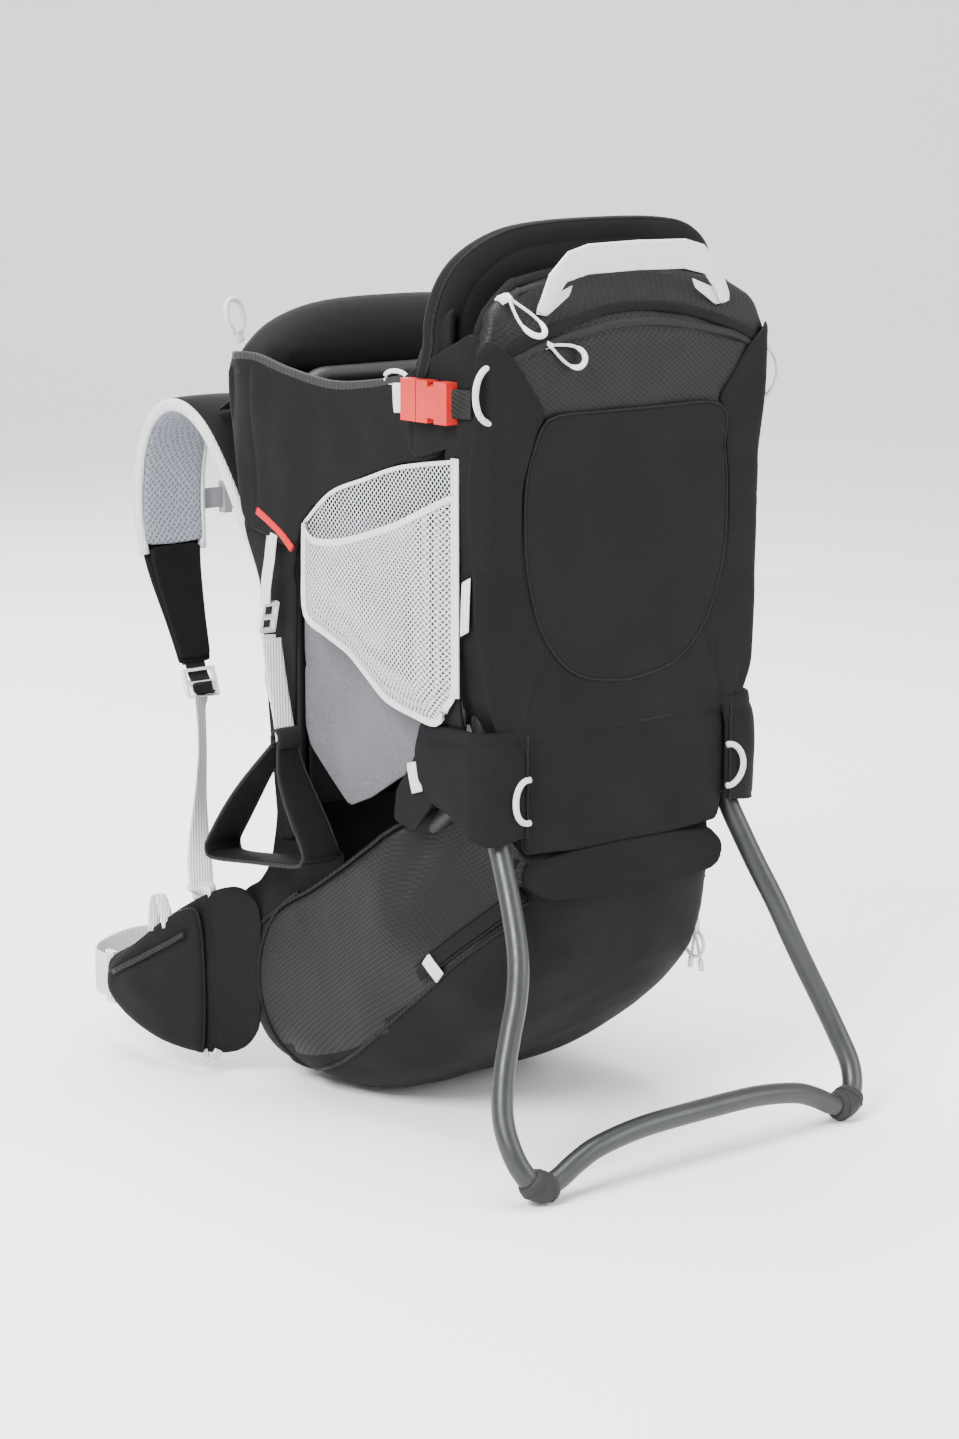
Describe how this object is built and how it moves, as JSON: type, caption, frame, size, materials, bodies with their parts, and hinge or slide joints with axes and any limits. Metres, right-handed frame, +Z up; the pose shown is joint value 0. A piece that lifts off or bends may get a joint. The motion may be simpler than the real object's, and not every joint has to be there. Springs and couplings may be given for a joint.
{
  "type": "child carrier backpack",
  "caption": "Padded child carrier backpack on a tube frame, with a fold-out kickstand, storage bag, mesh side pockets, stirrups, hip belt and shoulder straps.",
  "frame": {"origin": "on the ground, under the middle of the standing pack's bounding box", "axes": "+Z up, +Y towards the side the wearer's back is on, +X towards the wearer's right; X = 0 is the plane of symmetry"},
  "size_m": [0.386, 0.648, 0.73],
  "materials": {
    "frame_metal": "satin anodised",
    "stand_metal": "satin gunmetal lacquer",
    "bolt_steel": "satin",
    "hard_plastic": "moulded, matt",
    "rubber": "matt",
    "black_fabric": "woven, matt",
    "stretch_fabric": "stretch knit",
    "charcoal_fabric": "soft brushed knit",
    "grey_fabric": "soft knit",
    "mesh_fabric": "open stretch mesh with pale binding",
    "pale_webbing": "ribbed webbing",
    "black_webbing": "padded webbing",
    "pale_plastic": "moulded, satin",
    "grey_plastic": "moulded, satin",
    "coral_plastic": "moulded, satin",
    "zip_tape": "coated zip tape"
  },
  "bodies": {
    "pack": {"back_frame": "frame_metal", "rear_frame": "frame_metal", "frame_rails": "frame_metal", "frame_clamps": "hard_plastic", "framesheet": "hard_plastic", "kickstand_brackets": "hard_plastic", "pivot_bolts": "bolt_steel", "lower_bag": "black_fabric", "lower_flap": "black_fabric", "pack_body": "black_fabric", "stretch_pocket": "stretch_fabric", "top_pocket": "black_fabric", "headrest": "black_fabric", "side_housings": "black_fabric", "zip_trims": "zip_tape", "front_wall": "black_fabric", "drool_pad": "charcoal_fabric", "cockpit_lining": "charcoal_fabric", "side_walls": "black_fabric", "side_tabs": "black_fabric", "seat_wings": "grey_fabric", "edge_gussets": "black_fabric", "mesh_pockets": "mesh_fabric", "back_panel": "charcoal_fabric", "lumbar_pad": "charcoal_fabric", "hip_wings": "black_fabric", "hip_pockets": "black_fabric", "belt_adjusters": "pale_plastic", "belt_webbing_left": "pale_webbing", "belt_webbing_right": "pale_webbing", "belt_buckle_socket": "pale_plastic", "strap_webbing": "pale_webbing", "load_lifters": "black_webbing", "stirrup_anchors": "pale_plastic", "gear_loops": "pale_webbing", "cord_loops": "pale_webbing", "side_buckle_sockets": "coral_plastic"},
    "kickstand": {"kickstand_hubs": "hard_plastic", "kickstand_tube": "stand_metal", "kickstand_feet": "rubber"},
    "child_seat": {"child_seat_base": "grey_fabric", "child_seat_back": "grey_fabric", "child_harness": "charcoal_fabric"},
    "harness": {"yoke": "black_fabric", "shoulder_straps": "black_fabric", "strap_adjusters": "pale_plastic", "sternum_strap": "grey_plastic", "sternum_webbing": "grey_plastic"},
    "sternum_plug": {"sternum_plug": "grey_plastic"},
    "belt_plug": {"belt_buckle_plug": "pale_plastic"},
    "side_plug_left": {"side_plug_left": "coral_plastic"},
    "side_plug_right": {"side_plug_right": "coral_plastic"},
    "stirrup_left": {"stirrup_left": "black_webbing"},
    "stirrup_right": {"stirrup_right": "black_webbing"},
    "grab_handle": {"grab_handle": "pale_webbing"},
    "shade_slider": {"shade_zip_slider": "pale_plastic", "shade_zip_pull": "pale_plastic"},
    "pocket_slider": {"pocket_zip_slider": "pale_plastic", "pocket_zip_pull": "pale_plastic"},
    "bag_slider": {"bag_zip_slider": "pale_plastic"}
  },
  "joints": [
    {"name": "kickstand_fold", "type": "hinge", "parent": "pack", "child": "kickstand", "pos_m": [0, -0.191, 0.291], "axis": [1, 0, 0], "range_deg": [0, 42]},
    {"name": "seat_height", "type": "slide", "parent": "pack", "child": "child_seat", "axis": [0, 0, 1], "range_m": [-0.03, 0.03]},
    {"name": "torso_adjust", "type": "slide", "parent": "pack", "child": "harness", "axis": [0, 0, 1], "range_m": [-0.05, 0.05], "deforming": ["strap_webbing", "load_lifters"]},
    {"name": "sternum_release", "type": "slide", "parent": "harness", "child": "sternum_plug", "axis": [1, 0, 0], "range_m": [0, 0.016], "deforming": ["sternum_webbing"]},
    {"name": "belt_release", "type": "slide", "parent": "pack", "child": "belt_plug", "axis": [1, 0, 0], "range_m": [0, 0.024], "deforming": ["belt_webbing_right"]},
    {"name": "side_release_left", "type": "slide", "parent": "pack", "child": "side_plug_left", "axis": [0, 1, 0], "range_m": [0, 0.028]},
    {"name": "side_release_right", "type": "slide", "parent": "pack", "child": "side_plug_right", "axis": [0, 1, 0], "range_m": [0, 0.028]},
    {"name": "stirrup_left_swing", "type": "hinge", "parent": "pack", "child": "stirrup_left", "pos_m": [-0.15, 0.044, 0.388], "axis": [1, 0, 0], "range_deg": [-4, 30]},
    {"name": "stirrup_right_swing", "type": "hinge", "parent": "pack", "child": "stirrup_right", "pos_m": [0.15, 0.044, 0.388], "axis": [1, 0, 0], "range_deg": [-4, 30]},
    {"name": "handle_flip", "type": "hinge", "parent": "pack", "child": "grab_handle", "pos_m": [0, -0.2295, 0.666], "axis": [1, 0, 0], "range_deg": [0, 75]},
    {"name": "shade_zip_travel", "type": "hinge", "parent": "pack", "child": "shade_slider", "pos_m": [0, -0.49298, 0.38702], "axis": [0, -0.7071, 0.7071], "range_deg": [-26, 1]},
    {"name": "pocket_zip_travel", "type": "hinge", "parent": "pack", "child": "pocket_slider", "pos_m": [0, -0.223, 0.232], "axis": [0, -1, 0], "range_deg": [-26, 2]},
    {"name": "bag_zip_travel", "type": "slide", "parent": "pack", "child": "bag_slider", "axis": [0, -0.3903, 0.9207], "range_m": [0, 0.045]}
  ]
}
